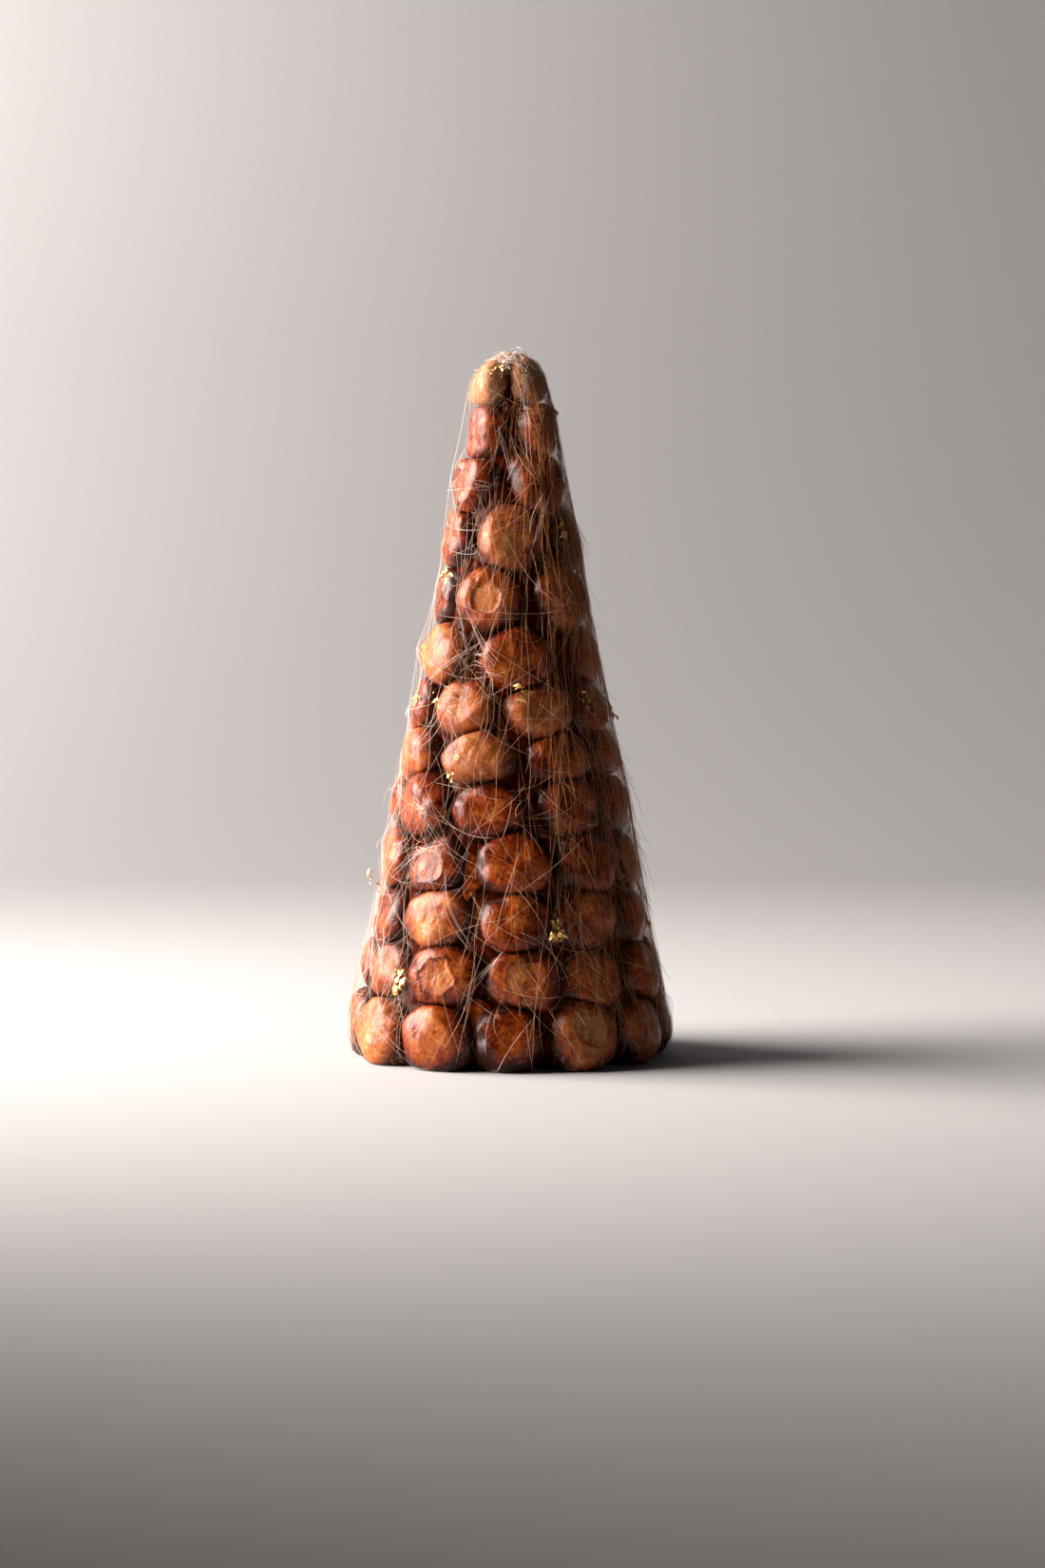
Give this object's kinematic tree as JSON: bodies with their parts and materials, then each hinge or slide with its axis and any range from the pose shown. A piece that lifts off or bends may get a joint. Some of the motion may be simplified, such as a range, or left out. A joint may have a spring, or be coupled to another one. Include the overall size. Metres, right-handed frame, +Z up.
{
  "type": "croquembouche",
  "caption": "Tall cone of choux puffs dipped in caramel and fused in courses, with a heap of spun sugar on its top.",
  "frame": {"origin": "centre of the foot of the cone, on the table", "axes": "+Z up the cone's axis, -Y towards the front, +X to the right seen from the front"},
  "size_m": [0.2215, 0.218, 0.489],
  "materials": {
    "caramel_glazed_choux": "gloss",
    "spun_sugar": "satin"
  },
  "bodies": {
    "root": {"course_01": "caramel_glazed_choux", "course_02": "caramel_glazed_choux", "course_03": "caramel_glazed_choux", "course_04": "caramel_glazed_choux", "course_05": "caramel_glazed_choux", "course_06": "caramel_glazed_choux", "course_07": "caramel_glazed_choux", "course_08": "caramel_glazed_choux", "course_09": "caramel_glazed_choux", "course_10": "caramel_glazed_choux", "course_11": "caramel_glazed_choux", "course_12": "caramel_glazed_choux", "course_13": "caramel_glazed_choux", "spun_sugar_tuft": "spun_sugar"}
  },
  "joints": []
}
